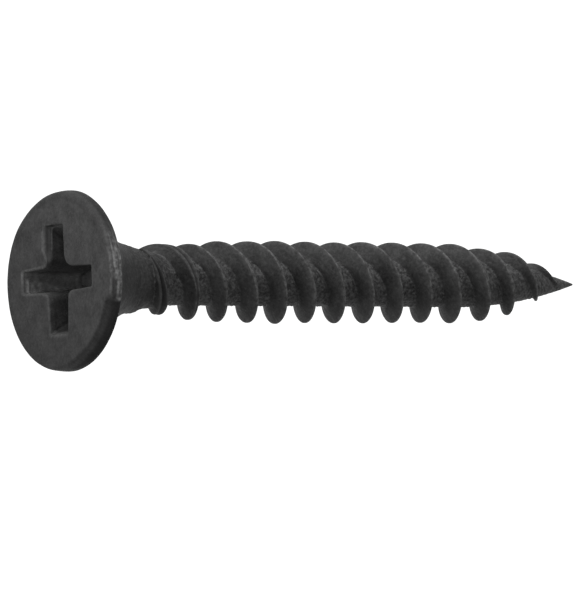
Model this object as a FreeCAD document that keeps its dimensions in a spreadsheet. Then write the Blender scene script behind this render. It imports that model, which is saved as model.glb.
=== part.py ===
import FreeCAD, Part
import math
import os
import Sketcher

# Bugle-head cross-recess screw with a twin-start thread and a sharp point.
#
# The real screw is one piece of steel: its head is forged and its thread rolled on a single
# blank. It is parted here into the zones of that blank: head, neck, shank, point, and the two
# helical thread ridges that stand on them.
#
# Frame: Z is the screw's axis, +Z out of the head. The origin is the centre of the flat top of
# the head, so the point lies at -Z. +X runs along one wing of the cross recess. Depths in the
# sheet are distances below the top of the head.

os.makedirs("parts", exist_ok=True)
doc = FreeCAD.newDocument("screw")

SIZES = [
    # alias, millimetres (or degrees), meaning
    ("length", 30.0, "whole length, top of the head to the tip"),
    ("head_radius", 4.2, "widest radius of the head, on its rim"),
    ("face_radius", 4.05, "radius of the flat top, inside the rounded edge"),
    ("edge_depth", 0.15, "depth where the rounded top edge meets the rim"),
    ("rim_depth", 0.60, "depth of the rim's lower edge"),
    ("flare_top_depth", 0.70, "depth where the bevel under the rim meets the flare"),
    ("flare_radius", 5.7, "radius of the hollow bugle flare under the head"),
    ("flare_end_depth", 5.4, "depth where the flare would run parallel to the axis"),
    ("flare_end_radius", 1.33, "radius of the blank where the flare runs parallel"),
    ("head_depth", 3.6, "depth of the plane between head and neck"),
    ("neck_depth", 4.9, "depth of the plane between neck and shank"),
    ("root_radius", 1.11, "radius of the core between the thread ridges"),
    ("root_depth", 6.0, "depth where the core reaches its root radius"),
    ("point_depth", 23.0, "depth where the core starts to taper to the point"),
    ("tip_radius", 0.04, "radius of the blunt end of the tip"),
    ("recess_span", 5.2, "width of the cross recess over two wings, at the top"),
    ("recess_floor_span", 2.7, "the same at the floor of the wings"),
    ("wing_width", 1.1, "width of one wing at the top"),
    ("wing_floor_width", 0.82, "width of one wing at its floor"),
    ("corner_cut", 0.36, "leg of the bevel between two wings, at the top"),
    ("corner_floor_cut", 0.24, "the same at the floor of the wings"),
    ("recess_depth", 2.5, "depth of the floor of the wings"),
    ("recess_tip_depth", 3.0, "depth of the centre of the recess"),
    ("recess_tip_radius", 0.5, "radius of the cone below the floor of the wings"),
    ("lead", 3.41, "advance of one ridge in one turn, two crest spacings"),
    ("crest_depth", 12.41, "depth of a crest of the first ridge on the +X side"),
    ("thread_height", 0.78, "height of a full ridge above the core"),
    ("crest_width", 0.09, "width of the flat on top of a ridge"),
    ("head_flank", 30.0, "slope of the flank that faces the head, degrees"),
    ("point_flank", 27.0, "slope of the flank that faces the point, degrees"),
    ("thread_start_depth", 4.35, "depth where the ridges start to rise out of the neck"),
    ("thread_full_depth", 10.5, "depth where the ridges reach their full height"),
    ("thread_fade_depth", 20.0, "depth where the ridges start to sink towards the tip"),
    ("thread_end_depth", 29.1, "depth where the ridges end"),
]


def fill_sheet():
    """The spreadsheet that holds every driving dimension under its alias."""
    sheet = doc.addObject("Spreadsheet::Sheet", "Sizes")
    for row, (alias, value, meaning) in enumerate(SIZES, start=1):
        sheet.set(f"A{row}", alias)
        sheet.set(f"B{row}", str(value))
        sheet.set(f"C{row}", meaning)
        sheet.setAlias(f"B{row}", alias)
    doc.recompute()
    return sheet


sheet = fill_sheet()


def size(alias):
    return float(sheet.get(alias))


# ---------------------------------------------------------------- radii along the axis


def flare_radius_at(depth):
    """Radius of the hollow flare: an arc that ends parallel to the axis."""
    arc = size("flare_radius")
    along = size("flare_end_depth") - depth
    return size("flare_end_radius") + arc - math.sqrt(arc ** 2 - along ** 2)


def point_arc_radius():
    """Radius of the ogive that leaves the shank without a kink and ends at the tip."""
    along = size("length") - size("point_depth")
    drop = size("root_radius") - size("tip_radius")
    return (along ** 2 + drop ** 2) / (2 * drop)


def core_radius_at(depth):
    """Radius of the core that the ridges stand on, from the neck to the tip."""
    neck_depth = size("neck_depth")
    root_depth = size("root_depth")
    root = size("root_radius")
    if depth < neck_depth:
        return flare_radius_at(depth)
    if depth < root_depth:
        share = (root_depth - depth) / (root_depth - neck_depth)
        return root + share * (flare_radius_at(neck_depth) - root)
    if depth < size("point_depth"):
        return root
    arc = point_arc_radius()
    return root - arc + math.sqrt(arc ** 2 - (depth - size("point_depth")) ** 2)


# ---------------------------------------------------------------- sketch helpers


def new_body(label):
    body = doc.addObject("PartDesign::Body", label)
    body.Label = label
    body.Placement = FreeCAD.Placement()
    return body


def new_sketch(body, name, role, depth_expression=None):
    """A sketch on one of the body's own origin planes, lowered by an expression if given."""
    sketch = body.newObject("Sketcher::SketchObject", name)
    planes = [plane for plane in body.Origin.OriginFeatures if plane.Role == role]
    sketch.AttachmentSupport = [(planes[0], "")]
    sketch.MapMode = "FlatFace"
    if depth_expression:
        sketch.setExpression("AttachmentOffset.Base.z", "-" + depth_expression)
    return sketch


def bind(sketch, kind, references, value, expression):
    """One dimension of a sketch, driven by an expression."""
    index = sketch.addConstraint(Sketcher.Constraint(kind, *references, value))
    sketch.setExpression(f"Constraints[{index}]", expression)


def pin(sketch, corner, point, expressions):
    """Places a corner by its distances from the sketch's origin, each a positive number."""
    origin = (-1, 1)
    for kind, along, expression in zip(("DistanceX", "DistanceY"), point, expressions):
        if expression is None:
            continue
        ends = origin + corner if along > 0 else corner + origin
        bind(sketch, kind, ends, abs(along), expression)


def line(sketch, start, end):
    return sketch.addGeometry(Part.LineSegment(vector(start), vector(end)))


def arc(sketch, centre, start, end):
    """An arc of a circle that runs counter-clockwise from start to end."""
    radius = math.dist(centre, start)
    first = math.atan2(start[1] - centre[1], start[0] - centre[0])
    last = math.atan2(end[1] - centre[1], end[0] - centre[0])
    circle = Part.Circle(vector(centre), FreeCAD.Vector(0, 0, 1), radius)
    return sketch.addGeometry(Part.ArcOfCircle(circle, first, last))


def vector(point):
    return FreeCAD.Vector(point[0], point[1], 0)


def join(sketch, *pairs):
    for first, second in pairs:
        sketch.addConstraint(Sketcher.Constraint("Coincident", *first, *second))


def on_axis(sketch, corner):
    """Keeps a corner on the sketch's vertical axis, which is the screw's axis."""
    vertical_axis = -2
    sketch.addConstraint(Sketcher.Constraint("PointOnObject", *corner, vertical_axis))


def level(sketch, edge):
    sketch.addConstraint(Sketcher.Constraint("Horizontal", edge))


def revolve(body, name, sketch, kind="PartDesign::Revolution"):
    feature = body.newObject(kind, name)
    feature.Profile = sketch
    feature.ReferenceAxis = (sketch, ["V_Axis"])
    feature.Angle = 360.0
    sketch.Visibility = False
    return feature


# ---------------------------------------------------------------- head and its recess


def build_head():
    """The forged bugle head: flat top, rounded edge, rim, hollow flare and cross recess."""
    body = new_body("head")
    sketch = new_sketch(body, "head_profile", "XZ_Plane")

    centre = (0.0, 0.0)
    face_edge = (size("face_radius"), 0.0)
    rim_top = (size("head_radius"), -size("edge_depth"))
    rim_bottom = (size("head_radius"), -size("rim_depth"))
    flare_top = (flare_radius_at(size("flare_top_depth")), -size("flare_top_depth"))
    flare_split = (flare_radius_at(size("head_depth")), -size("head_depth"))
    axis_split = (0.0, -size("head_depth"))
    edge_centre = (size("face_radius"), -size("edge_depth"))
    flare_centre = (size("flare_end_radius") + size("flare_radius"), -size("flare_end_depth"))

    top = line(sketch, centre, face_edge)
    edge = arc(sketch, edge_centre, rim_top, face_edge)
    rim = line(sketch, rim_top, rim_bottom)
    bevel = line(sketch, rim_bottom, flare_top)
    flare = arc(sketch, flare_centre, flare_top, flare_split)
    split = line(sketch, flare_split, axis_split)
    axis = line(sketch, axis_split, centre)
    join(sketch, ((top, 2), (edge, 2)), ((edge, 1), (rim, 1)), ((rim, 2), (bevel, 1)),
         ((bevel, 2), (flare, 1)), ((flare, 2), (split, 1)), ((split, 2), (axis, 1)),
         ((axis, 2), (top, 1)), ((top, 1), (-1, 1)))
    on_axis(sketch, (axis, 1))
    level(sketch, top)
    level(sketch, split)
    bind(sketch, "DistanceX", (-1, 1, top, 2), face_edge[0], "Sizes.face_radius")
    pin(sketch, (rim, 1), rim_top, ("Sizes.head_radius", "Sizes.edge_depth"))
    pin(sketch, (rim, 2), rim_bottom, ("Sizes.head_radius", "Sizes.rim_depth"))
    bind(sketch, "Radius", (edge,), size("edge_depth"), "Sizes.edge_depth")
    pin(sketch, (flare, 3), flare_centre,
        ("Sizes.flare_end_radius + Sizes.flare_radius", "Sizes.flare_end_depth"))
    bind(sketch, "Radius", (flare,), size("flare_radius"), "Sizes.flare_radius")
    pin(sketch, (flare, 1), flare_top, (None, "Sizes.flare_top_depth"))
    pin(sketch, (flare, 2), flare_split, (None, "Sizes.head_depth"))
    revolve(body, "head_blank", sketch)
    doc.recompute()

    cut_recess(body)
    return body


def cross_corners(half_span, half_width, corner_reach):
    """The corners of a cross with bevelled inner corners, and what each distance is made of."""
    wing = [(corner_reach, -half_width, "reach", "width"), (half_span, -half_width, "span", "width"),
            (half_span, half_width, "span", "width"), (corner_reach, half_width, "reach", "width")]
    corners = []
    for quarter in range(4):
        for x, y, x_kind, y_kind in wing:
            for _ in range(quarter):
                x, y, x_kind, y_kind = -y, x, y_kind, x_kind
            corners.append(((x, y), (x_kind, y_kind)))
    return corners


def draw_cross(body, name, depth, span, width, cut):
    """A sketch of the cross recess at one depth. The last four arguments are aliases."""
    depth_expression = f"Sizes.{depth}" if depth else None
    sketch = new_sketch(body, name, "XY_Plane", depth_expression)
    expressions = {
        "span": f"Sizes.{span} / 2",
        "width": f"Sizes.{width} / 2",
        "reach": f"Sizes.{width} / 2 + Sizes.{cut}",
    }
    half_width = size(width) / 2
    corners = cross_corners(size(span) / 2, half_width, half_width + size(cut))
    count = len(corners)
    edges = [line(sketch, corners[i][0], corners[(i + 1) % count][0]) for i in range(count)]
    for i, edge in enumerate(edges):
        join(sketch, ((edge, 2), (edges[(i + 1) % count], 1)))
    for edge, (point, kinds) in zip(edges, corners):
        pin(sketch, (edge, 1), point, (expressions[kinds[0]], expressions[kinds[1]]))
    sketch.Visibility = False
    return sketch


def cut_recess(body):
    """The cross recess: tapered wings, then a blunt cone at the centre of their floor."""
    before = body.Shape.Volume
    top = draw_cross(body, "recess_top", None, "recess_span", "wing_width", "corner_cut")
    floor = draw_cross(body, "recess_floor", "recess_depth", "recess_floor_span",
                       "wing_floor_width", "corner_floor_cut")
    doc.recompute()
    wings = body.newObject("PartDesign::SubtractiveLoft", "recess_wings")
    wings.Profile = top
    wings.Sections = [floor]
    wings.Ruled = True
    doc.recompute()
    after_wings = body.Shape.Volume

    sketch = new_sketch(body, "recess_tip_profile", "XZ_Plane")
    mouth = (size("recess_tip_radius"), -size("recess_depth"))
    rise = (0.0, -size("recess_depth"))
    tip = (0.0, -size("recess_tip_depth"))
    across = line(sketch, rise, mouth)
    slope = line(sketch, mouth, tip)
    axis = line(sketch, tip, rise)
    join(sketch, ((across, 2), (slope, 1)), ((slope, 2), (axis, 1)), ((axis, 2), (across, 1)))
    on_axis(sketch, (axis, 1))
    on_axis(sketch, (axis, 2))
    pin(sketch, (across, 2), mouth, ("Sizes.recess_tip_radius", "Sizes.recess_depth"))
    level(sketch, across)
    bind(sketch, "DistanceY", (axis, 1, -1, 1), -tip[1], "Sizes.recess_tip_depth")
    revolve(body, "recess_tip", sketch, "PartDesign::Groove")
    doc.recompute()
    after_tip = body.Shape.Volume
    if not before > after_wings > after_tip:
        raise RuntimeError("the recess did not cut the head")


# ---------------------------------------------------------------- neck, shank and point


def build_neck():
    """The plain neck, where the flare runs out above the thread."""
    body = new_body("neck")
    sketch = new_sketch(body, "neck_profile", "XZ_Plane")
    top = (flare_radius_at(size("head_depth")), -size("head_depth"))
    bottom = (flare_radius_at(size("neck_depth")), -size("neck_depth"))
    flare_centre = (size("flare_end_radius") + size("flare_radius"), -size("flare_end_depth"))
    upper = line(sketch, (0.0, top[1]), top)
    flare = arc(sketch, flare_centre, top, bottom)
    lower = line(sketch, bottom, (0.0, bottom[1]))
    axis = line(sketch, (0.0, bottom[1]), (0.0, top[1]))
    join(sketch, ((upper, 2), (flare, 1)), ((flare, 2), (lower, 1)), ((lower, 2), (axis, 1)),
         ((axis, 2), (upper, 1)))
    on_axis(sketch, (axis, 1))
    on_axis(sketch, (axis, 2))
    level(sketch, upper)
    level(sketch, lower)
    pin(sketch, (flare, 3), flare_centre,
        ("Sizes.flare_end_radius + Sizes.flare_radius", "Sizes.flare_end_depth"))
    bind(sketch, "Radius", (flare,), size("flare_radius"), "Sizes.flare_radius")
    pin(sketch, (flare, 1), top, (None, "Sizes.head_depth"))
    pin(sketch, (flare, 2), bottom, (None, "Sizes.neck_depth"))
    revolve(body, "neck_blank", sketch)
    return body


def build_shank():
    """The core under the thread: a short taper out of the neck, then a straight cylinder."""
    body = new_body("shank")
    sketch = new_sketch(body, "shank_profile", "XZ_Plane")
    top = (flare_radius_at(size("neck_depth")), -size("neck_depth"))
    root_top = (size("root_radius"), -size("root_depth"))
    root_bottom = (size("root_radius"), -size("point_depth"))
    upper = line(sketch, (0.0, top[1]), top)
    taper = line(sketch, top, root_top)
    wall = line(sketch, root_top, root_bottom)
    lower = line(sketch, root_bottom, (0.0, root_bottom[1]))
    axis = line(sketch, (0.0, root_bottom[1]), (0.0, top[1]))
    join(sketch, ((upper, 2), (taper, 1)), ((taper, 2), (wall, 1)), ((wall, 2), (lower, 1)),
         ((lower, 2), (axis, 1)), ((axis, 2), (upper, 1)))
    on_axis(sketch, (axis, 1))
    on_axis(sketch, (axis, 2))
    level(sketch, upper)
    level(sketch, lower)
    flare_width = ("Sizes.flare_end_radius + Sizes.flare_radius"
                   " - sqrt(Sizes.flare_radius ^ 2"
                   " - (Sizes.flare_end_depth - Sizes.neck_depth) ^ 2)")
    pin(sketch, (taper, 1), top, (flare_width, "Sizes.neck_depth"))
    pin(sketch, (wall, 1), root_top, ("Sizes.root_radius", "Sizes.root_depth"))
    pin(sketch, (wall, 2), root_bottom, ("Sizes.root_radius", "Sizes.point_depth"))
    revolve(body, "shank_core", sketch)
    return body


def build_point():
    """The core of the point: an ogive that leaves the shank without a kink."""
    body = new_body("point")
    sketch = new_sketch(body, "point_profile", "XZ_Plane")
    base = (size("root_radius"), -size("point_depth"))
    tip = (size("tip_radius"), -size("length"))
    ogive_centre = (size("root_radius") - point_arc_radius(), -size("point_depth"))
    upper = line(sketch, (0.0, base[1]), base)
    ogive = arc(sketch, ogive_centre, tip, base)
    lower = line(sketch, tip, (0.0, tip[1]))
    axis = line(sketch, (0.0, tip[1]), (0.0, base[1]))
    join(sketch, ((upper, 2), (ogive, 2)), ((ogive, 1), (lower, 1)), ((lower, 2), (axis, 1)),
         ((axis, 2), (upper, 1)))
    on_axis(sketch, (axis, 1))
    on_axis(sketch, (axis, 2))
    level(sketch, upper)
    level(sketch, lower)
    pin(sketch, (ogive, 2), base, ("Sizes.root_radius", "Sizes.point_depth"))
    pin(sketch, (ogive, 1), tip, ("Sizes.tip_radius", "Sizes.length"))
    pin(sketch, (ogive, 3), ogive_centre, (None, "Sizes.point_depth"))
    revolve(body, "point_core", sketch)
    return body


# ---------------------------------------------------------------- thread ridges

SECTIONS_PER_TURN = 24
LEAST_HEIGHT = 0.02


def ridge_height_at(depth):
    """Height of a ridge: it rises out of the neck, stays full, then sinks towards the tip."""
    rise = (depth - size("thread_start_depth")) / (
        size("thread_full_depth") - size("thread_start_depth"))
    fade = (depth - size("thread_fade_depth")) / (
        size("thread_end_depth") - size("thread_fade_depth"))
    rise_share = min(max(rise, 0.0), 1.0) ** (1 / 3)
    fade_share = 1.0 - min(max(fade, 0.0), 1.0) ** 3
    return max(size("thread_height") * rise_share * fade_share, LEAST_HEIGHT)


def ridge_section(crest_depth, angle):
    """The four corners of a ridge in the axial plane at one angle: base, crest, crest, base.

    The ridge tapers from its base to a narrow crest. Where it is low its crest flat and its
    base narrow with it."""
    height = ridge_height_at(crest_depth)
    half_crest = size("crest_width") / 2 * min(1.0, 4 * height / size("thread_height"))
    towards_head = half_crest + height * math.tan(math.radians(size("head_flank")))
    towards_tip = half_crest + height * math.tan(math.radians(size("point_flank")))
    crest = core_radius_at(crest_depth) + height
    corners = [
        (core_radius_at(crest_depth - towards_head), crest_depth - towards_head),
        (crest, crest_depth - half_crest),
        (crest, crest_depth + half_crest),
        (core_radius_at(crest_depth + towards_tip), crest_depth + towards_tip),
    ]
    return [FreeCAD.Vector(radius * math.cos(angle), radius * math.sin(angle), -depth)
            for radius, depth in corners]


def ruled_face(first, second):
    """The face between two curves that share their knots, straight from one to the other."""
    surface = Part.BSplineSurface()
    poles = [list(pair) for pair in zip(first.getPoles(), second.getPoles())]
    surface.buildFromPolesMultsKnots(
        poles, first.getMultiplicities(), [2, 2], first.getKnots(), [0.0, 1.0],
        False, False, first.Degree, 1)
    return surface.toShape()


def build_ridge(label, phase):
    """One right-hand helical ridge. phase is its share of a turn ahead of the first ridge.

    Its section changes all along the helix, which no sweep makes, so its four long edges are
    curves through the sections' corners and its faces are ruled between them."""
    turn_start = (size("thread_start_depth") - size("crest_depth")) / size("lead") - phase
    turn_end = (size("thread_end_depth") - size("crest_depth")) / size("lead") - phase
    steps = round((turn_end - turn_start) * SECTIONS_PER_TURN)
    sections = []
    for step in range(steps + 1):
        turn = turn_start + (turn_end - turn_start) * step / steps
        depth = size("crest_depth") + size("lead") * (turn + phase)
        sections.append(ridge_section(depth, -2 * math.pi * turn))

    shares = [step / steps for step in range(steps + 1)]
    curves = []
    for corner in range(4):
        curve = Part.BSplineCurve()
        curve.interpolate(Points=[section[corner] for section in sections], Parameters=shares)
        curves.append(curve)
    faces = [ruled_face(curves[i], curves[(i + 1) % 4]) for i in range(4)]
    for section in (sections[0], sections[-1]):
        faces.append(Part.Face(Part.makePolygon(section + section[:1])))
    skin = Part.makeCompound(faces)
    skin.sewShape()
    solid = Part.makeSolid(skin.Shells[0])
    if solid.Volume < 0:
        solid.reverse()

    ridge = doc.addObject("Part::Feature", label)
    ridge.Label = label
    ridge.Shape = solid
    ridge.Placement = FreeCAD.Placement()
    return ridge


# ---------------------------------------------------------------- build, check and write

sub_parts = [
    build_head(),
    build_neck(),
    build_shank(),
    build_point(),
    build_ridge("thread_one", 0.0),
    build_ridge("thread_two", 0.5),
]
doc.recompute()

for thing in doc.Objects:
    if "Invalid" in thing.State or "Error" in thing.State:
        raise RuntimeError(f"{thing.Label} failed: {thing.State}")
for sub_part in sub_parts:
    if sub_part.Shape.isNull() or not sub_part.Shape.isValid():
        raise RuntimeError(f"{sub_part.Label} has no valid shape")
for sub_part in sub_parts:
    sub_part.Shape.exportStep(f"parts/{sub_part.Label}.step")
    box = sub_part.Shape.optimalBoundingBox()
    print(f"{sub_part.Label}: {len(sub_part.Shape.Solids)} solid,"
          f" {sub_part.Shape.Volume:.3f} mm3, z {box.ZMin:.2f} to {box.ZMax:.2f},"
          f" width {box.XLength:.2f}")
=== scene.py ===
import math

import bpy
import numpy as np
from mathutils import Matrix, Vector


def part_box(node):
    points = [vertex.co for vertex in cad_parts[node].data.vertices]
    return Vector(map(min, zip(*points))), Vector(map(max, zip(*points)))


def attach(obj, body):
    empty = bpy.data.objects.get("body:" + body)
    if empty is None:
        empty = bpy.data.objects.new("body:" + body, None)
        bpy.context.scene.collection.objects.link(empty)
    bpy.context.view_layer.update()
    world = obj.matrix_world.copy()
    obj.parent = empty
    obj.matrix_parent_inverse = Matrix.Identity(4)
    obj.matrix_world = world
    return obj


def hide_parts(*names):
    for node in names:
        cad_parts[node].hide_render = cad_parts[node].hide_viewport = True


# A black phosphated bugle-head screw with a cross recess and a twin-start thread.
# Sizes are in millimetres and depths are distances below the top of the head, until a mesh is
# made, which is in metres. The frame is the CAD frame: Z is the axis, +Z out of the head.

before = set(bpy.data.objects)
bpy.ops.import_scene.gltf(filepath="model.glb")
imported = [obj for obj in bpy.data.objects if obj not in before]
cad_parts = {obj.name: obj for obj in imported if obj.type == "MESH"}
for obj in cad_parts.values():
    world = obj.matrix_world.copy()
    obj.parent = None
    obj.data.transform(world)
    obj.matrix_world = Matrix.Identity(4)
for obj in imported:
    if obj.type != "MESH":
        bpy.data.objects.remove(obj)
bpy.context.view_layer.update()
MM = 0.001


def box_mm(node):
    low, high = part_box(node)
    return low / MM, high / MM


# ---------------------------------------------------------------- sizes taken from the frame

HEAD_RADIUS = box_mm("head")[1].x
HEAD_DEPTH = -box_mm("head")[0].z
NECK_DEPTH = -box_mm("neck")[0].z
POINT_DEPTH = -box_mm("point")[1].z
LENGTH = -box_mm("point")[0].z
ROOT_RADIUS = box_mm("point")[1].x

# ---------------------------------------------------------------- sizes of the design

FACE_RADIUS = 4.04
EDGE_DEPTH = 0.12
RIM_DEPTH = 0.60
FLARE_TOP_DEPTH = 0.70
FLARE_RADIUS = 5.7
FLARE_END_DEPTH = 5.4
FLARE_END_RADIUS = 1.33
ROOT_DEPTH = 6.0
TIP_RADIUS = 0.04

RECESS_HALF_SPAN = 2.6
RECESS_FLOOR_HALF_SPAN = 1.35
WING_HALF_WIDTH = 0.56
WING_FLOOR_HALF_WIDTH = 0.41
WING_TAPER = 0.05
RECESS_DEPTH = 2.5
RECESS_TIP_DEPTH = 3.0
RECESS_OFFSET = (0.08, 0.12)
RECESS_STRETCH = (0.985, 1.05)
LIP = 0.09

LEAD = 3.41
CREST_DEPTH = 12.41
THREAD_HEIGHT = 0.78
HALF_CREST = 0.045
HEAD_FLANK = math.tan(math.radians(30))
POINT_FLANK = math.tan(math.radians(27))
THREAD_START_DEPTH = 4.35
THREAD_FULL_DEPTH = 10.5
THREAD_FADE_DEPTH = 20.0
THREAD_END_DEPTH = 29.1
LEAST_HEIGHT = 0.02

# ---------------------------------------------------------------- camera

TILT = math.radians(36.63)
TURN = math.radians(-4.0)
ROLL = math.radians(0.37)
VIEW_WIDTH = 26.51
HEAD_ASIDE = (-10.63, 1.10)
CAMERA_DISTANCE = 505.0


def view_axes():
    """The camera's right, up and backward directions in the screw's frame.

    The camera looks down on the head from TILT above the level and lies on its side, so the
    screw runs from left to right."""
    spin = Matrix.Rotation(TURN, 3, "Z")
    back = spin @ Vector((0, -math.cos(TILT), math.sin(TILT)))
    level_up = spin @ Vector((1, 0, 0))
    level_right = level_up.cross(back)
    right = math.cos(ROLL) * level_right + math.sin(ROLL) * level_up
    up = math.cos(ROLL) * level_up - math.sin(ROLL) * level_right
    return right, up, back


RIGHT, UP, BACK = view_axes()


def add_camera():
    """VIEW_WIDTH is what the view takes in at the head, and HEAD_ASIDE how far right of the
    view's middle and above it the centre of the head stands."""
    data = bpy.data.cameras.new("camera")
    data.sensor_fit = "HORIZONTAL"
    data.sensor_width = 36.0
    data.lens = CAMERA_DISTANCE / VIEW_WIDTH * data.sensor_width
    data.clip_start = 0.01
    data.clip_end = 10.0
    camera = bpy.data.objects.new("camera", data)
    bpy.context.scene.collection.objects.link(camera)
    place = (-HEAD_ASIDE[0] * RIGHT - HEAD_ASIDE[1] * UP + CAMERA_DISTANCE * BACK) * MM
    turn = Matrix((RIGHT, UP, BACK)).transposed().to_4x4()
    camera.matrix_world = Matrix.Translation(place) @ turn
    bpy.context.scene.camera = camera


add_camera()

# ---------------------------------------------------------------- studio

FLOOR_DROP = 0.40
FLOOR_HALF_SIZE = 3.0
WORLD_STRENGTH = 0.55
SUN_STRENGTH = 3.2
SUN_ANGLE = math.radians(60)


def add_light(name, direction, distance, width, height, power):
    """A soft box that faces the screw from a direction given along RIGHT, UP and BACK."""
    data = bpy.data.lights.new(name, "AREA")
    data.shape = "RECTANGLE"
    data.size = width
    data.size_y = height
    data.energy = power
    light = bpy.data.objects.new(name, data)
    bpy.context.scene.collection.objects.link(light)
    away = (direction[0] * RIGHT + direction[1] * UP + direction[2] * BACK).normalized()
    middle = Vector((0, 0, -LENGTH / 2 * MM))
    side = UP.cross(away).normalized()
    turn = Matrix((side, away.cross(side), away)).transposed().to_4x4()
    light.matrix_world = Matrix.Translation(middle + away * distance) @ turn
    light.visible_camera = False


def add_studio():
    world = bpy.data.worlds.new("studio")
    world.use_nodes = True
    background = world.node_tree.nodes["Background"]
    background.inputs["Color"].default_value = (1, 1, 1, 1)
    background.inputs["Strength"].default_value = WORLD_STRENGTH
    bpy.context.scene.world = world
    bpy.context.scene.view_settings.view_transform = "Standard"
    bpy.context.scene.view_settings.look = "None"

    mesh = bpy.data.meshes.new("floor")
    half = FLOOR_HALF_SIZE
    floor_z = -LENGTH * MM - FLOOR_DROP
    corners = [(-half, -half, floor_z), (half, -half, floor_z), (half, half, floor_z),
               (-half, half, floor_z)]
    mesh.from_pydata(corners, [], [(0, 1, 2, 3)])
    floor = bpy.data.objects.new("floor", mesh)
    bpy.context.scene.collection.objects.link(floor)
    material = bpy.data.materials.new("pale_floor")
    material.use_nodes = True
    shader = material.node_tree.nodes["Principled BSDF"]
    shader.inputs["Base Color"].default_value = (0.70, 0.70, 0.70, 1)
    shader.inputs["Roughness"].default_value = 0.9
    shader.inputs["Specular IOR Level"].default_value = 0.0
    mesh.materials.append(material)

    sun = bpy.data.lights.new("overhead", "SUN")
    sun.energy = SUN_STRENGTH
    sun.angle = SUN_ANGLE
    overhead = bpy.data.objects.new("overhead", sun)
    bpy.context.scene.collection.objects.link(overhead)

    add_light("top_box", direction=(-0.10, 0.90, 0.30), distance=0.35, width=0.40, height=0.20,
              power=2.25)


add_studio()

# ---------------------------------------------------------------- random fields


def field(points, wavelength, seed, waves=48):
    """A smooth random field over points in millimetres, about -1 to 1, the same each run."""
    rng = np.random.default_rng(seed)
    heading = rng.normal(size=(waves, points.shape[-1]))
    heading /= np.linalg.norm(heading, axis=1, keepdims=True)
    length = 2 * math.pi / (wavelength * rng.uniform(0.75, 1.5, waves))
    phase = rng.uniform(0, 2 * math.pi, waves)
    total = np.zeros(points.shape[:-1])
    for k in range(waves):
        total += np.cos(points @ (heading[k] * length[k]) + phase[k])
    return total * math.sqrt(2 / waves) / 2


def rolled_field(points, wavelength, seed, waves=64):
    """A random field on the core, drawn out along the thread, as the rolling dies leave it."""
    rng = np.random.default_rng(seed)
    angle = np.arctan2(points[:, 1], points[:, 0])
    total = np.zeros(len(points))
    for _ in range(waves):
        down = rng.choice((-1, 1)) * 2 * math.pi / (wavelength * rng.uniform(0.7, 1.8))
        around = round(down * LEAD / (2 * math.pi) + rng.normal() * 6)
        total += np.cos(-down * points[:, 2] + around * angle + rng.uniform(0, 2 * math.pi))
    return total * math.sqrt(2 / waves) / 2


def smooth_step(low, high, value):
    share = np.clip((value - low) / (high - low), 0, 1)
    return share * share * (3 - 2 * share)


# ---------------------------------------------------------------- radii along the axis


def flare_radius_at(depth):
    along = FLARE_END_DEPTH - depth
    return FLARE_END_RADIUS + FLARE_RADIUS - np.sqrt(FLARE_RADIUS ** 2 - along ** 2)


def core_radius_at(depth):
    """Radius of the core under the thread: neck, taper, cylinder and ogive."""
    depth = np.asarray(depth, float)
    neck = flare_radius_at(np.minimum(depth, NECK_DEPTH))
    share = np.clip((ROOT_DEPTH - depth) / (ROOT_DEPTH - NECK_DEPTH), 0, 1)
    taper = ROOT_RADIUS + share * (flare_radius_at(NECK_DEPTH) - ROOT_RADIUS)
    drop = ROOT_RADIUS - TIP_RADIUS
    run = LENGTH - POINT_DEPTH
    arc = (run ** 2 + drop ** 2) / (2 * drop)
    past = np.clip(depth - POINT_DEPTH, 0, run)
    ogive = ROOT_RADIUS - arc + np.sqrt(arc ** 2 - past ** 2)
    return np.where(depth < NECK_DEPTH, neck, np.where(depth < POINT_DEPTH, taper, ogive))


def ridge_height_at(depth):
    rise = (depth - THREAD_START_DEPTH) / (THREAD_FULL_DEPTH - THREAD_START_DEPTH)
    fade = (depth - THREAD_FADE_DEPTH) / (THREAD_END_DEPTH - THREAD_FADE_DEPTH)
    share = np.clip(rise, 0, 1) ** (1 / 3) * (1 - np.clip(fade, 0, 1) ** 3)
    return np.maximum(THREAD_HEIGHT * share, LEAST_HEIGHT)


# ---------------------------------------------------------------- how the forging came out

# HEAD_TIP is a slope and the two offsets are along X. The last constant is the painted shade under
# the head: how much darker the colour is made there than on the face.

HEAD_TIP = 0.011
HEAD_OFFSET = -0.02
NECK_OFFSET = 0.10
UNDER_HEAD_PAINTED_SHADE = 0.63


def forge(points):
    """The head leans a little on the blank and the neck is a little off the axis."""
    depth = -points[:, 2]
    head = smooth_step(3.0, 0.8, depth)
    neck = smooth_step(1.8, 3.8, depth) * smooth_step(6.2, 4.4, depth)
    forged = points.copy()
    forged[:, 2] -= HEAD_TIP * (HEAD_RADIUS + points[:, 0]) * head
    forged[:, 0] += NECK_OFFSET * neck + HEAD_OFFSET * head
    return forged


# ---------------------------------------------------------------- mesh helpers


def make_piece(name, points, faces, attributes):
    """A smooth-shaded object in metres from points in millimetres, with its values by point."""
    mesh = bpy.data.meshes.new(name)
    mesh.from_pydata((forge(np.asarray(points)) * MM).tolist(), [], faces)
    mesh.validate()
    mesh.shade_smooth()
    for key, values in attributes.items():
        layer = mesh.attributes.new(key, "FLOAT", "POINT")
        layer.data.foreach_set("value", np.asarray(values, np.float32))
    piece = bpy.data.objects.new(name, mesh)
    bpy.context.scene.collection.objects.link(piece)
    return piece


def mark_cap_edges(piece, rings):
    """Keeps the shading of a wall apart from the flat end it meets: rings are lists of points."""
    wanted = set()
    for ring in rings:
        for i, a in enumerate(ring):
            wanted.add(frozenset((a, ring[(i + 1) % len(ring)])))
    for edge in piece.data.edges:
        if frozenset(edge.vertices) in wanted:
            edge.use_edge_sharp = True


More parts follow.
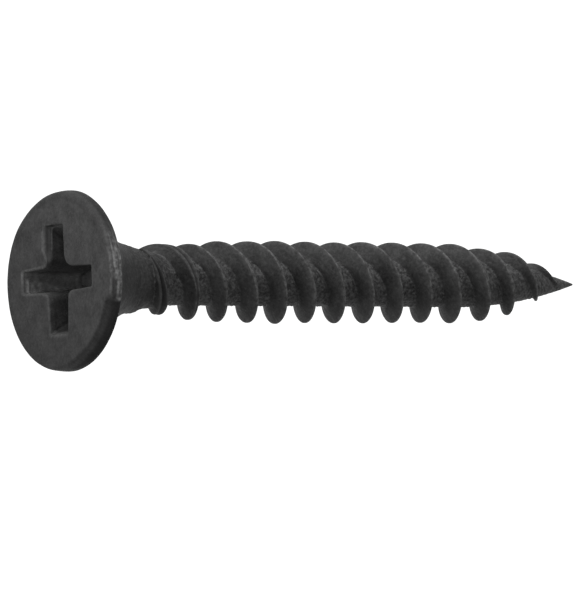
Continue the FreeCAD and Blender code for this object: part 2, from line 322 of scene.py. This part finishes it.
def rings_to_faces(rows, around, flip=False):
    """Quads between closed rows of points, each with the same number of points."""
    faces = []
    for row in range(rows - 1):
        low = row * around
        high = low + around
        for i in range(around):
            j = (i + 1) % around
            face = (low + i, low + j, high + j, high + i)
            faces.append(face[::-1] if flip else face)
    return faces


def fan(ring, centre, flip=False):
    faces = []
    for i, a in enumerate(ring):
        b = ring[(i + 1) % len(ring)]
        faces.append((b, a, centre) if flip else (a, b, centre))
    return faces


# ---------------------------------------------------------------- head


def cross_contour(half_span, half_width, outer, inner):
    """The outline of the cross recess from +X round to +X, with the same count of points
    whatever its size. Its wings narrow a little outwards. outer and inner are the radii of
    its outer and inner corners."""

    def straight(start, end, count):
        shares = np.arange(count) / count
        return [np.array(start) * (1 - k) + np.array(end) * k for k in shares]

    def bend(centre, radius, first, last, count):
        angles = np.radians(first + (last - first) * np.arange(count) / count)
        return [np.array(centre) + radius * np.array((math.cos(a), math.sin(a)))
                for a in angles]

    end_width = half_width - WING_TAPER
    reach = half_width + inner
    half_end, outer_corner, side, inner_corner = 6, 8, 24, 18
    quarter = straight((half_span, 0), (half_span, end_width - outer), half_end)
    quarter += bend((half_span - outer, end_width - outer), outer, 0, 90, outer_corner)
    quarter += straight((half_span - outer, end_width), (reach, half_width), side)
    quarter += bend((reach, reach), inner, -90, -180, inner_corner)
    quarter += straight((half_width, reach), (end_width, half_span - outer), side)
    quarter += bend((end_width - outer, half_span - outer), outer, 0, 90, outer_corner)
    quarter += straight((end_width - outer, half_span), (0, half_span), half_end)
    quarter = np.array(quarter)
    turned = [quarter]
    for _ in range(3):
        turned.append(np.stack((-turned[-1][:, 1], turned[-1][:, 0]), axis=1))
    return np.concatenate(turned)


def ring_at(flat, depth):
    """A closed row of points from a flat outline and a depth."""
    return np.column_stack((flat, -np.broadcast_to(depth, len(flat))))


def circle(radius, around):
    angles = 2 * math.pi * np.arange(around) / around
    return radius * np.column_stack((np.cos(angles), np.sin(angles)))


# The ledge beside the +X wing: how far out and how deep the punch left the rows of the outline
# that would be at these nominal depths.

LEDGE_ROWS = (0.0, 0.09, 0.16, 0.22)
LEDGE_OUT = (0.44, 0.33, 0.11, 0.06)
LEDGE_DEPTHS = (0.0, 0.025, 0.12, 0.22)
FAR_WING_OUT = (0.22, 0.07)


def ledge(flat):
    """1 along the +Y wall of the +X wing, which the punch dragged outwards."""
    return smooth_step(0.55, 1.55, flat[:, 0]) * smooth_step(0.1, 0.4, flat[:, 1])


def punch_marks(flat, depth):
    """Drags out the ledge, and opens the -X wing on its -Y side and a little on its +Y side."""
    out = np.interp(depth, LEDGE_ROWS, LEDGE_OUT) * ledge(flat)
    far_wing = smooth_step(-0.5, -1.1, flat[:, 0])
    out -= FAR_WING_OUT[0] * far_wing * smooth_step(-0.1, -0.4, flat[:, 1])
    out += FAR_WING_OUT[1] * far_wing * smooth_step(0.1, 0.4, flat[:, 1])
    return flat + np.column_stack((0 * out, out))


def ledge_depth(flat, depth):
    """The ledge lies higher than the rounded lip that the rest of the outline has there."""
    return depth + (np.interp(depth, LEDGE_ROWS, LEDGE_DEPTHS) - depth) * ledge(flat)


def recess_outline(depth, grow=0.0):
    """The outline of the recess at a depth. Its outer corners are rounder towards the floor."""
    share = min(depth / RECESS_DEPTH, 1.0)
    span = RECESS_HALF_SPAN + (RECESS_FLOOR_HALF_SPAN - RECESS_HALF_SPAN) * share
    width = WING_HALF_WIDTH + (WING_FLOOR_HALF_WIDTH - WING_HALF_WIDTH) * share
    outer = 0.09 + 0.22 * share ** 0.6
    inner = 0.62 - 0.26 * share
    outline = cross_contour(span + grow, width + grow, outer + grow, inner - grow)
    return punch_marks(outline, depth)


def recess_rings():
    """The recess from the middle of its floor up to its rounded lip on the face, as rows of
    points with how worn each row is."""
    around = len(recess_outline(0))
    rings = []
    cone_mouth = 0.42
    floor_round = 0.12
    wall_top = 0.3
    for share in (0.15, 0.5, 0.85):
        depth = RECESS_TIP_DEPTH + (RECESS_DEPTH - RECESS_TIP_DEPTH) * share
        rings.append((ring_at(circle(cone_mouth * share, around), depth), 0.0))
    floor = recess_outline(RECESS_DEPTH, -floor_round)
    for share in (0.0, 0.25, 0.5, 0.75):
        mixed = circle(cone_mouth, around) * (1 - share) + floor * share
        rings.append((ring_at(mixed, RECESS_DEPTH), 0.0))
    for angle in np.radians((0, 30, 60, 90)):
        shrink = -floor_round * (1 - math.sin(angle))
        rings.append((ring_at(recess_outline(RECESS_DEPTH, shrink),
                              RECESS_DEPTH - floor_round * (1 - math.cos(angle))), 0.0))
    for depth in np.linspace(RECESS_DEPTH - floor_round, wall_top, 22)[1:]:
        rings.append((ring_at(recess_outline(depth), depth), 0.0))
    for depth in np.linspace(wall_top, LIP, 7)[1:]:
        outline = recess_outline(depth)
        rings.append((ring_at(outline, ledge_depth(outline, depth)), 0.1))
    for angle in np.radians((72, 54, 36, 18, 0)):
        ring = recess_outline(LIP * math.sin(angle), LIP * (1 - math.sin(angle)))
        depth = ledge_depth(ring, LIP - LIP * math.cos(angle))
        rings.append((ring_at(ring, depth), 0.05 + 0.08 * math.sin(2 * angle)))
    place = np.array((*RECESS_OFFSET, 0))
    return [(ring * np.array((*RECESS_STRETCH, 1)) + place, worn) for ring, worn in rings]


def wing_end(points):
    """1 on the sloping outer ends of the recess's wings, except the +Y wing's, and 0 on its
    side walls."""
    share = np.minimum(-points[:, 2] / RECESS_DEPTH, 1)
    span = RECESS_HALF_SPAN + (RECESS_FLOOR_HALF_SPAN - RECESS_HALF_SPAN) * share
    flat = points[:, :2] - np.array(RECESS_OFFSET)
    reach = np.abs(flat).max(axis=1)
    return smooth_step(span - 0.36, span - 0.16, reach) * smooth_step(1.4, 0.9, flat[:, 1])


def round_ring(radius, depth, around):
    """A closed row of points whose radius and depth may change on the way round."""
    angles = 2 * math.pi * np.arange(around) / around
    radius = np.broadcast_to(radius, around)
    return np.column_stack((radius * np.cos(angles), radius * np.sin(angles),
                            -np.broadcast_to(depth, around)))


# Angles round the head are in degrees, from +X towards +Y.

# Angles of the lighter stretch of the rim, partly worn coating and partly a painted highlight.
RUB_AND_HIGHLIGHT_FROM = -106.5
RUB_AND_HIGHLIGHT_TO = -47.0
RUB_AND_HIGHLIGHT_FADE = 35.0
BEVEL_OVERLAP = 7.0


def chamfer_at(angle):
    """1 where the face has a broad bevel, which starts at the end of the lighter, partly worn and
    partly painted-highlight stretch of the rim.
    """
    past = np.mod(RUB_AND_HIGHLIGHT_FROM + BEVEL_OVERLAP - angle, 360)
    return smooth_step(0, 10, past) * smooth_step(102, 47, past)


def soft_edge_at(angle):
    """1 on the stretch where the face rolls over softly into the rim."""
    return smooth_step(-80, -55, angle) * smooth_step(60, 20, angle)


# The rim is deeper than the design's, and more so on its +X and -X sides, where its upper edge
# is drawn in.

RIM_DEEPER = 0.04
RIM_UNEVEN = 0.03
EDGE_DRAWN_IN = 0.05


def head_rings():
    """The whole head from the recess's floor to the end of the flare, as rows of points with how
    worn each row is, and how many of the rows are the recess's."""
    rings = recess_rings()
    recess_rows = len(rings)
    lip_ring = rings[-1][0]
    around = len(lip_ring)
    angles = 360 * np.arange(around) / around
    angles = np.where(angles > 180, angles - 360, angles)
    sideways = np.abs(np.cos(np.radians(angles)))
    chamfer = chamfer_at(angles)
    soft = soft_edge_at(angles)
    face_radius = FACE_RADIUS - 0.30 * chamfer - 0.20 * soft
    edge_depth = EDGE_DEPTH + 0.40 * chamfer + 0.16 * soft
    rim_depth = RIM_DEPTH + RIM_DEEPER + RIM_UNEVEN * sideways
    flare_top = rim_depth + FLARE_TOP_DEPTH - RIM_DEPTH
    edge_radius = HEAD_RADIUS - EDGE_DRAWN_IN * sideways ** 4
    face_edge = round_ring(face_radius, 0, around)
    for share in np.linspace(0, 1, 24)[1:]:
        ring = lip_ring * (1 - share) + face_edge * share
        rings.append((ring, max(0.0, 0.05 - 0.5 * share)))
    for share in np.linspace(0, 1, 10)[1:]:
        turn = share * math.pi / 2
        across = share * chamfer + math.sin(turn) * (1 - chamfer)
        down = share * chamfer + (1 - math.cos(turn)) * (1 - chamfer)
        worn = 0.3 * math.sin(2 * turn) * (1 - soft) * (1 - chamfer)
        radius = face_radius + (edge_radius - face_radius) * across
        rings.append((round_ring(radius, edge_depth * down, around), worn))
    for share in np.linspace(0, 1, 12)[1:-1]:
        depth = edge_depth + (rim_depth - edge_depth) * share
        radius = HEAD_RADIUS + (edge_radius - HEAD_RADIUS) * (1 - share) ** 2
        rings.append((round_ring(radius, depth, around), 0.0))
    rings.append((round_ring(HEAD_RADIUS, rim_depth - 0.04, around), 0.1))
    rings.append((round_ring(HEAD_RADIUS - 0.03, rim_depth + 0.01, around), 0.1))
    inward = flare_radius_at(flare_top) + 0.06
    rings.append((round_ring(inward, flare_top - 0.02, around), 0.0))
    for share in np.linspace(0, 1, 40):
        depth = flare_top + (HEAD_DEPTH - flare_top) * share
        rings.append((round_ring(flare_radius_at(depth), depth, around), 0.0))
    return rings, recess_rows


def rim_rub_and_highlight(points):
    """How much lighter one stretch of the rim is: partly coating worn off by another screw in the
    box, partly a painted highlight where the rim would catch the light. The band narrows towards
    the start of the stretch, away from the face."""
    depth = -points[:, 2]
    angle = np.degrees(np.arctan2(points[:, 1], points[:, 0]))
    stretch = smooth_step(RUB_AND_HIGHLIGHT_FROM - 1, RUB_AND_HIGHLIGHT_FROM + 1, angle)
    stretch *= smooth_step(RUB_AND_HIGHLIGHT_TO, RUB_AND_HIGHLIGHT_TO - RUB_AND_HIGHLIGHT_FADE, angle)
    radius = np.hypot(points[:, 0], points[:, 1])
    on_rim = smooth_step(HEAD_RADIUS - 0.25, HEAD_RADIUS - 0.05, radius)
    narrowing = 0.22 * smooth_step(-86, -104, angle)
    return stretch * on_rim * smooth_step(narrowing, narrowing + 0.25, depth)


def roughen_head(points, depth, radius, scratched):
    """Moves the face down and the outside in, a little and unevenly, and the lighter stretch of
    the rim further where it is scratched."""
    on_face = smooth_step(0.25, 0.0, depth)
    crown = 0.012 * smooth_step(2.8, 4.0, radius)
    dents = 0.008 * (0.5 + 0.5 * field(points, 2.4, 11)) + 0.003 * (1 + field(points, 0.5, 13))
    points[:, 2] -= on_face * (crown + dents)
    outside = smooth_step(3.7, 4.0, radius) + smooth_step(0.5, 0.6, depth) * (radius > 1.6)
    outside = np.clip(outside, 0, 1) * smooth_step(HEAD_DEPTH, HEAD_DEPTH - 0.3, depth)
    pull = 0.024 + 0.012 * (0.5 + 0.5 * field(points, 1.3, 12)) + 0.012 * scratched
    points[:, :2] *= (1 - outside * pull / np.maximum(radius, 0.5))[:, None]


def recess_painted_shading(points, depth):
    """How much painted shade each point of the recess gets, and how much painted light. The
    painted shade is heaviest at the ends of the wings and on the floor, and less deeper down. The
    +X wing's walls get painted light, and so does the +Y wing's end, in streaks below a painted
    edge of shade."""
    x, y = points[:, 0], points[:, 1]
    # Painted shade at the wing ends and on the floor, painted light deeper down and on the +X
    # wing's walls.
    painted_shading_and_scratches = (smooth_step(0.1, 0.5, depth) * wing_end(points)
            - 0.5 * smooth_step(0.8, 1.8, depth) + 0.8 * smooth_step(2.3, 2.42, depth)
            - 1.15 * smooth_step(0.8, 1.2, x) * smooth_step(0.1, 0.3, depth))
    # Painted light on the +Y wing's end, in streaks, cut off by a painted shadow edge that runs
    # across with depth.
    streak = 0.55 + 0.45 * field(points[:, 2:], 0.12, 16)
    shade_edge = 0.25 - 0.22 * depth
    near_wing = smooth_step(0.9, 1.3, y)
    painted_light_streaks = near_wing * smooth_step(2.4, 0.6, depth) * smooth_step(0.08, 0.16, depth)
    painted_light_streaks *= smooth_step(shade_edge + 0.12, shade_edge - 0.12, x) * streak
    # Painted light on the +Y wing's end, more on its +X half and in the streaks.
    painted_shading_and_scratches -= near_wing * smooth_step(2.42, 2.3, depth) * (
        0.25 + 0.6 * smooth_step(0.0, 0.3, x) + 0.8 * painted_light_streaks)
    # The ledge is made darker, and a thin stripe just under its top darker still.
    stripe = smooth_step(0.03, 0.05, depth) * smooth_step(0.09, 0.07, depth)
    on_ledge = ledge(points - np.array((*RECESS_OFFSET, 0)))
    painted_shading_and_scratches += on_ledge * (0.15 + 0.45 * smooth_step(0.01, 0.03, depth) + 0.5 * stripe)
    return painted_shading_and_scratches, painted_light_streaks


def outside_painted_shading(depth, radius, angle):
    """How much painted shade the colour gets outside the recess, away from the lighter stretch of
    the rim: on the rolled edge, from the rim down, under the flare and on the bevel."""
    # Painted shade on the rolled edge, under the head, under the flare and on the bevel.
    rolled = soft_edge_at(angle) * smooth_step(3.6, 3.85, radius) * smooth_step(0.6, 0.3, depth)
    sheltered = smooth_step(0.2, 0.4, depth)
    under_flare = smooth_step(0.6, 0.9, depth) * smooth_step(3.6, 2.6, depth)
    on_bevel = chamfer_at(angle) * smooth_step(0.01, 0.08, depth) * smooth_step(1.1, 0.5, depth)
    return 0.3 * rolled + UNDER_HEAD_PAINTED_SHADE * sheltered + 0.08 * under_flare + 0.36 * on_bevel


def add_head():
    """The forged head: recess, face, rounded edge, rim and the hollow flare under it."""
    rings, recess_rows = head_rings()
    around = len(rings[0][0])
    points = np.concatenate([ring for ring, _ in rings])
    worn = np.concatenate([np.broadcast_to(value, around) for _, value in rings])
    bottom_ring = [(len(rings) - 1) * around + i for i in range(around)]
    faces = rings_to_faces(len(rings), around, flip=True)
    floor_centre = len(points)
    end_centre = floor_centre + 1
    in_recess = np.append(np.arange(floor_centre) < recess_rows * around, (True, False))
    points = np.vstack((points, [(*RECESS_OFFSET, -RECESS_TIP_DEPTH), (0, 0, -HEAD_DEPTH)]))
    worn = np.append(worn, (0.0, 0.0))
    faces += fan(list(range(around)), floor_centre)
    faces += fan(bottom_ring, end_centre, flip=True)

    depth = -points[:, 2]
    radius = np.hypot(points[:, 0], points[:, 1])
    angle = np.arctan2(points[:, 1], points[:, 0])
    # The lighter stretch of the rim: partly worn coating, partly painted highlight.
    rub_and_painted_highlight = rim_rub_and_highlight(points)
    scratch = field(np.column_stack((2.5 * angle, 8 * depth)), 1.0, 15)
    scratch = smooth_step(-0.7, 0.8, scratch)
    roughen_head(points, depth, radius, rub_and_painted_highlight * scratch)

    inner, painted_light_streaks = recess_painted_shading(points, depth)
    painted_light_streaks = in_recess * painted_light_streaks
    # Painted shade across the face: darker towards -X and +Y, lighter towards +X and -Y.
    painted_shade_across_face = 0.10 + 0.05 * (0.6 * points[:, 1] - points[:, 0])
    outer = (1 - rub_and_painted_highlight) * outside_painted_shading(depth, radius, np.degrees(angle))
    outer += smooth_step(0.2, 0.05, depth) * painted_shade_across_face - 1.7 * rub_and_painted_highlight * scratch
    # The first value carries painted light on the +Y wing's end and the painted highlight part of
    # the rim stretch, and the last carries painted shade and light.
    values = {
        "wear_and_painted_light": np.maximum(worn, 0.5 * rub_and_painted_highlight) + 0.55 * painted_light_streaks,
        "grain": 0.25 + 0.55 * smooth_step(1.0, HEAD_DEPTH, depth) * ~in_recess + 0.2 * rub_and_painted_highlight,
        "painted_shading_and_scratches": np.where(in_recess, inner, outer),
    }
    piece = make_piece("head_forging", points, faces, values)
    mark_cap_edges(piece, [bottom_ring])
    return piece


# ---------------------------------------------------------------- neck, shank and point


def turned_piece(name, depths, around, grain, seed, rough):
    """A closed solid of revolution between two flat ends, with a rough rolled surface. rough is
    the height of its roughness. Near the head its colour gets painted shade, heavier on the +X
    side, and random mottle."""
    angles = 2 * math.pi * np.arange(around) / around
    radii = core_radius_at(depths)
    points = np.stack((radii[:, None] * np.cos(angles), radii[:, None] * np.sin(angles),
                       -np.broadcast_to(depths[:, None], (len(depths), around))), axis=-1)
    points = points.reshape(-1, 3)
    radius = np.hypot(points[:, 0], points[:, 1])
    crumple = 0.5 * field(points, 0.24, seed) + 0.6 * rolled_field(points, 0.22, seed + 1)
    bump = (crumple + 0.3 * field(points, 0.9, seed + 2)) * rough * np.minimum(1, radius)
    bump += neck_scar(points)
    ends = smooth_step(0, 0.25, -points[:, 2] - depths[0])
    ends *= smooth_step(0, 0.25, depths[-1] + points[:, 2])
    points[:, :2] *= (1 + bump * ends / radius)[:, None]
    first = list(range(around))
    last = [(len(depths) - 1) * around + i for i in range(around)]
    faces = rings_to_faces(len(depths), around, flip=True)
    count = len(points)
    wear_and_painted_light = np.append(2 * neck_scar(points), (0, 0))
    points = np.vstack((points, [(0, 0, -depths[0]), (0, 0, -depths[-1])]))
    faces += fan(first, count) + fan(last, count + 1, flip=True)
    # Painted shade under the head, heavier towards +X, with random mottle.
    mottle = 0.18 * smooth_step(0.3, 1.0, points[:, 0]) + 0.25 * field(points, 1.1, seed + 3)
    painted_shading_and_scratches = UNDER_HEAD_PAINTED_SHADE * smooth_step(6.2, 4.2, -points[:, 2]) * (1 + mottle)
    values = {"wear_and_painted_light": wear_and_painted_light, "grain": np.full(len(points), grain), "painted_shading_and_scratches": painted_shading_and_scratches}
    piece = make_piece(name, points, faces, values)
    mark_cap_edges(piece, [first, last])
    return piece


SCAR_DEPTH = 4.1


def neck_scar(points):
    """Height of the small lump that the forging left on the -X side of the neck."""
    away = np.hypot(points[:, 1] / 0.6, (points[:, 2] + SCAR_DEPTH) / 0.32)
    return 0.11 * np.exp(-away ** 2) * (points[:, 0] < 0)


def add_neck():
    depths = np.linspace(HEAD_DEPTH, NECK_DEPTH, 50)
    return turned_piece("neck_blank", depths, around=180, grain=0.8, seed=21, rough=0.014)


def add_shank():
    depths = np.linspace(NECK_DEPTH, POINT_DEPTH, 420)
    return turned_piece("shank_core", depths, around=160, grain=1.25, seed=31, rough=0.024)


def add_point():
    """The seed is the shank's, so that the roughness runs on across the joint."""
    depths = np.append(np.linspace(POINT_DEPTH, LENGTH - 0.05, 160), LENGTH)
    return turned_piece("point_core", depths, around=128, grain=1.1, seed=31, rough=0.020)


# ---------------------------------------------------------------- thread ridges

STEPS_PER_TURN = 150
CREST_PER_TURN = 9.0
EARLY_HEIGHT = 0.08
UNFINISHED_HALF_CREST = 0.20
GROOVE_DEPTH = 0.09

# Places where a ridge stands too high or low, or off its helix: the depth, how far the place
# spreads, the rise and the shift along the axis.

MARKS_ONE = ((5.6, 1.1, 0.14, 0.30), (7.3, 0.8, 0.02, 0.05), (9.0, 1.2, 0.05, 0.0),
             (10.7, 0.9, 0.0, 0.08), (12.4, 1.0, 0.04, -0.05), (20.8, 0.6, -0.05, -0.03),
             (24.3, 0.7, 0.0, 0.06), (26.0, 0.6, 0.06, 0.0), (27.6, 0.6, -0.13, 0.0))
MARKS_TWO = ((4.6, 0.6, -0.12, 0.0), (5.6, 0.8, -0.07, 0.0), (7.3, 0.9, 0.02, 0.07),
             (9.0, 1.2, 0.06, 0.03), (10.7, 0.9, 0.0, 0.06), (12.4, 1.2, 0.05, 0.0),
             (17.5, 0.8, 0.03, -0.10), (24.3, 0.6, -0.08, 0.0), (26.0, 0.6, 0.0, -0.06),
             (27.4, 0.8, 0.08, 0.0), (28.65, 0.12, 0.10, 0.0))


def curve_through(start, corner, end, count):
    """Points on the smooth bend from start to end that turns at corner."""
    shares = np.linspace(0, 1, count)[:, None, None]
    return start * (1 - shares) ** 2 + corner * 2 * shares * (1 - shares) + end * shares ** 2


def ridge_profile(depth, height, half_crest, groove):
    """The outline of a ridge at each step of its helix, as (row, step, (depth, radius)).

    It rises from under the core, through a fillet and a straight flank to a small rounded
    crest, and comes down the other flank in the same way."""
    crest = core_radius_at(depth) + height
    fillet = np.minimum(0.09, 0.35 * height)
    edge = np.minimum(0.04, 0.2 * height)

    def foot(along, rise):
        return np.stack((depth + along, core_radius_at(depth + along) + rise), axis=-1)

    def top(along, drop):
        return np.stack((depth + along, crest - drop), axis=-1)

    sides = []
    for side, slope in ((-1, HEAD_FLANK), (1, POINT_FLANK)):
        run = half_crest + height * slope
        outer = foot(side * (run + fillet), -0.012)
        under = foot(side * (run + fillet), -0.20 * np.minimum(1, crest / 0.8))
        corner = foot(side * run, 0.0)
        shoulder = top(side * half_crest, 0.0)
        upwards = (shoulder - corner) / np.linalg.norm(shoulder - corner, axis=-1, keepdims=True)
        low_flank = corner + fillet[:, None] * upwards
        high_flank = shoulder - edge[:, None] * upwards
        shares = np.linspace(0, 1, 9)[1:-1, None, None]
        sides.append(np.concatenate((
            under[None],
            curve_through(outer, corner, low_flank, 7),
            low_flank * (1 - shares) + high_flank * shares,
            curve_through(high_flank, shoulder, top(side * half_crest * 0.5, 0.0), 4))))
    return np.concatenate((sides[0], top(0.0, groove)[None], sides[1][::-1]))


def ridge_values(points, away, full, unfinished, seed):
    """How worn and grainy each point of a ridge is, and how much painted light and shade it gets.
    away counts the points of a profile from its crest, 0, out to its two feet. full and unfinished
    go by step along the ridge."""
    along = len(full)
    foot = away.max()
    worn_top = np.interp(away, (0, 1, 2, 4, 6), (0.25, 0.62, 0.62, 0.2, 0.0))
    worn_foot = np.interp(away, (foot - 8, foot - 5, foot - 3), (0.0, 0.2, 0.0))
    worn = np.tile(worn_top + worn_foot, along)
    worn *= np.repeat(full * (1 - 0.85 * unfinished), len(away))
    coarse = np.interp(away, (foot - 8, foot - 4), (0.36, 1.1))
    grain = np.tile(coarse, along) * (1 + 0.6 * rolled_field(points, 0.16, seed + 7))
    # Painted shade in the groove along the unfinished crest.
    in_groove = np.interp(away, (0, 1, 2), (1.2, 0.55, 0.0))
    painted_shading_and_scratches = np.tile(in_groove, along) * np.repeat(unfinished, len(away))
    # Painted light on the lower flanks, where shade falls between the ridges.
    painted_shading_and_scratches -= np.tile(np.interp(away, (5, foot - 5), (0.0, 0.28)), along)
    return {"wear_and_painted_light": worn, "grain": grain, "painted_shading_and_scratches": painted_shading_and_scratches}


def add_ridge(name, phase, start, marks, seed):
    """One ridge. phase is its part of a turn, and start how far it starts before the nominal
    depth. Near the neck its crest is broad and has a groove, as the dies don't fill it there."""
    turn_start = (THREAD_START_DEPTH - start - CREST_DEPTH) / LEAD - phase
    turn_end = (THREAD_END_DEPTH - CREST_DEPTH) / LEAD - phase
    steps = round((turn_end - turn_start) * STEPS_PER_TURN)
    turns = np.linspace(turn_start, turn_end, steps + 1)
    path = np.column_stack((turns * CREST_PER_TURN, turns * 0 + seed))
    depth = CREST_DEPTH + LEAD * (turns + phase)
    height = ridge_height_at(depth)
    full = np.minimum(1, 2 * height / THREAD_HEIGHT)
    slip = 0 * depth
    for place, spread, rise, shift in marks:
        near = np.exp(-((depth - place) / spread) ** 2)
        height = height + rise * near
        slip = slip + shift * near
    height = np.maximum(height, min(start, EARLY_HEIGHT))
    height = height * (1 + 0.022 * field(path, 6.0, seed) + 0.012 * field(path, 1.6, seed + 1))
    wobble = (0.02 * field(path, 7.0, seed + 2) + 0.006 * field(path, 1.2, seed + 3)) * full
    wobble += start * smooth_step(5.0, 4.1, depth) + slip
    unfinished = smooth_step(8.0, 5.0, depth)
    half_crest = HALF_CREST + UNFINISHED_HALF_CREST * unfinished
    half_crest = half_crest * full * (1 + 0.3 * field(path, 3.0, seed + 4))
    groove = 0.008 * full + unfinished * np.minimum(GROOVE_DEPTH, 0.5 * height)
    rows = ridge_profile(depth + wobble, height, half_crest, groove)

    around, along = rows.shape[:2]
    middle = around // 2
    angle = -2 * math.pi * turns
    radius = rows[:, :, 1]
    points = np.stack((radius * np.cos(angle), radius * np.sin(angle), -rows[:, :, 0]), axis=-1)
    points = points.transpose(1, 0, 2).reshape(-1, 3)
    away = np.abs(np.arange(around) - middle)
    inner = np.tile((away > 4) & (away < middle), along)
    radius = np.maximum(np.hypot(points[:, 0], points[:, 1]), 0.05)
    bump = 0.006 * field(points, 0.3, seed + 5) + 0.010 * field(points, 1.1, seed + 6)
    points[:, :2] *= (1 + inner * bump * np.repeat(full, around) / radius)[:, None]

    values = ridge_values(points, away, full, unfinished, seed)
    faces = rings_to_faces(along, around)
    first = list(range(around))
    last = [(along - 1) * around + i for i in range(around)]
    faces.append(tuple(first[::-1]))
    faces.append(tuple(last))
    piece = make_piece(name, points, faces, values)
    mark_cap_edges(piece, [first, last])
    return piece


# ---------------------------------------------------------------- black phosphate


def phosphate_material():
    """A dull black conversion coating: mottled, finely crystalline, lighter where it is worn, with
    painted light and painted shade from two of its attributes.
    """
    material = bpy.data.materials.new("black_phosphate")
    material.use_nodes = True
    tree = material.node_tree
    nodes, links = tree.nodes, tree.links
    shader = nodes["Principled BSDF"]
    shader.inputs["Specular IOR Level"].default_value = 0.1
    shader.inputs["Metallic"].default_value = 0.0

    place = nodes.new("ShaderNodeTexCoord")
    scale = nodes.new("ShaderNodeMapping")
    scale.inputs["Scale"].default_value = (1 / MM, 1 / MM, 1 / MM)
    links.new(place.outputs["Object"], scale.inputs["Vector"])

    def noise(per_mm, detail, roughness=0.5):
        node = nodes.new("ShaderNodeTexNoise")
        node.inputs["Scale"].default_value = per_mm
        node.inputs["Detail"].default_value = detail
        node.inputs["Roughness"].default_value = roughness
        links.new(scale.outputs["Vector"], node.inputs["Vector"])
        return node.outputs["Fac"]

    def ramp(value, stops):
        node = nodes.new("ShaderNodeMapRange")
        node.clamp = True
        for socket, number in zip(("From Min", "From Max", "To Min", "To Max"), stops):
            node.inputs[socket].default_value = number
        links.new(value, node.inputs["Value"])
        return node.outputs["Result"]

    def maths(operation, first, second):
        node = nodes.new("ShaderNodeMath")
        node.operation = operation
        for socket, value in zip(node.inputs, (first, second)):
            if isinstance(value, (int, float)):
                socket.default_value = value
            else:
                links.new(value, socket)
        return node.outputs["Value"]

    def attribute(name):
        node = nodes.new("ShaderNodeAttribute")
        node.attribute_name = name
        return node.outputs["Fac"]

    mottle = noise(1.1, 5, 0.6)
    grain_noise = noise(7.0, 4, 0.6)
    fine = noise(34.0, 2)
    # Lighter and glossier where the coating is worn. The same attribute carries painted light on
    # the +Y wing's end and the painted highlight part of the lighter rim stretch.
    wear_and_painted_light = maths("MULTIPLY", attribute("wear_and_painted_light"), ramp(noise(5.0, 4), (0.38, 0.62, 0.05, 1.0)))
    wear_and_painted_light = maths("MINIMUM", wear_and_painted_light, 0.52)
    grain = attribute("grain")

    shade = maths("ADD", ramp(mottle, (0.32, 0.68, 0.0135, 0.0262)),
                  maths("MULTIPLY", ramp(grain_noise, (0.40, 0.70, -0.004, 0.032)), grain))
    shade = maths("ADD", shade, maths("MULTIPLY", wear_and_painted_light, 0.07))
    shade = maths("ADD", shade, ramp(fine, (0.3, 0.7, -0.004, 0.004)))
    # Painted shade: this attribute darkens the colour where shade falls, and where it is negative
    # it lightens it as painted light. It also holds the lighter scratch streaks of the rim and
    # some random mottle.
    painted_shading_and_scratches = maths("MULTIPLY", attribute("painted_shading_and_scratches"), 0.75)
    shade = maths("MULTIPLY", shade, maths("SUBTRACT", 1.0, painted_shading_and_scratches))
    colour = nodes.new("ShaderNodeCombineColor")
    for socket in colour.inputs:
        links.new(shade, socket)
    links.new(colour.outputs["Color"], shader.inputs["Base Color"])

    gloss = maths("SUBTRACT", ramp(noise(2.3, 4), (0.3, 0.7, 0.56, 0.70)),
                  maths("MULTIPLY", wear_and_painted_light, 0.20))
    links.new(gloss, shader.inputs["Roughness"])

    height = maths("ADD", maths("MULTIPLY", grain_noise, maths("ADD", grain, 0.15)),
                   maths("MULTIPLY", fine, 0.12))
    bump = nodes.new("ShaderNodeBump")
    bump.inputs["Distance"].default_value = 0.04 * MM
    bump.inputs["Strength"].default_value = 1.0
    links.new(height, bump.inputs["Height"])
    links.new(bump.outputs["Normal"], shader.inputs["Normal"])
    return material


# ---------------------------------------------------------------- pieces in place of the nodes

BLACK_PHOSPHATE = phosphate_material()
PIECES = (
    (add_head(), "head"),
    (add_neck(), "neck"),
    (add_shank(), "shank"),
    (add_point(), "point"),
    (add_ridge("thread_ridge_one", phase=0.0, start=0.0, marks=MARKS_ONE, seed=41), "thread_one"),
    (add_ridge("thread_ridge_two", phase=0.5, start=0.25, marks=MARKS_TWO, seed=51), "thread_two"),
)
for piece, node in PIECES:
    piece.data.materials.append(BLACK_PHOSPHATE)
    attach(piece, "root")
    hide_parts(node)
